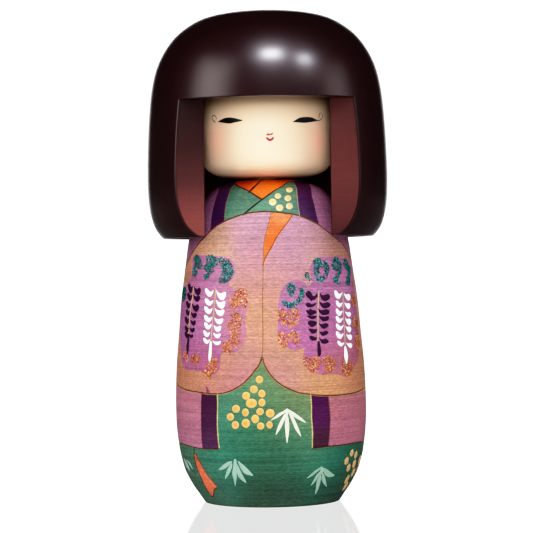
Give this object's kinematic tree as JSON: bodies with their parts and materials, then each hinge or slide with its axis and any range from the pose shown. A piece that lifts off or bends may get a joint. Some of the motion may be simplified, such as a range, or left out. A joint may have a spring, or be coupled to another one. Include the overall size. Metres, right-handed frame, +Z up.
{
  "type": "kokeshi doll",
  "caption": "Turned wooden kokeshi figure with a hollow lacquered bob of hair on a head that turns on a neck peg.",
  "frame": {"origin": "centre of the flat base, on the surface that the doll stands on", "axes": "+Z up along the lathe axis, which the head turns about; the face looks along -Y; +X is to the right of a viewer who faces the doll"},
  "size_m": [0.0764, 0.0753, 0.155],
  "materials": {
    "kimono_paint": "dyed and painted turned wood with incised lines, satin clear coat",
    "peg_wood": "bare turned hardwood",
    "face_paint": "smooth cream wood, satin wax",
    "hair_lacquer": "dark plum gloss lacquer, satin red-brown on the sawn front faces"
  },
  "bodies": {
    "body": {"body": "kimono_paint"},
    "head": {"hair": "hair_lacquer", "face": "face_paint", "neck_peg": "peg_wood"}
  },
  "joints": [
    {"name": "head_turn", "type": "hinge", "parent": "body", "child": "head", "pos_m": [0, 0, 0.1018], "axis": [0, 0, 1], "continuous": true}
  ]
}
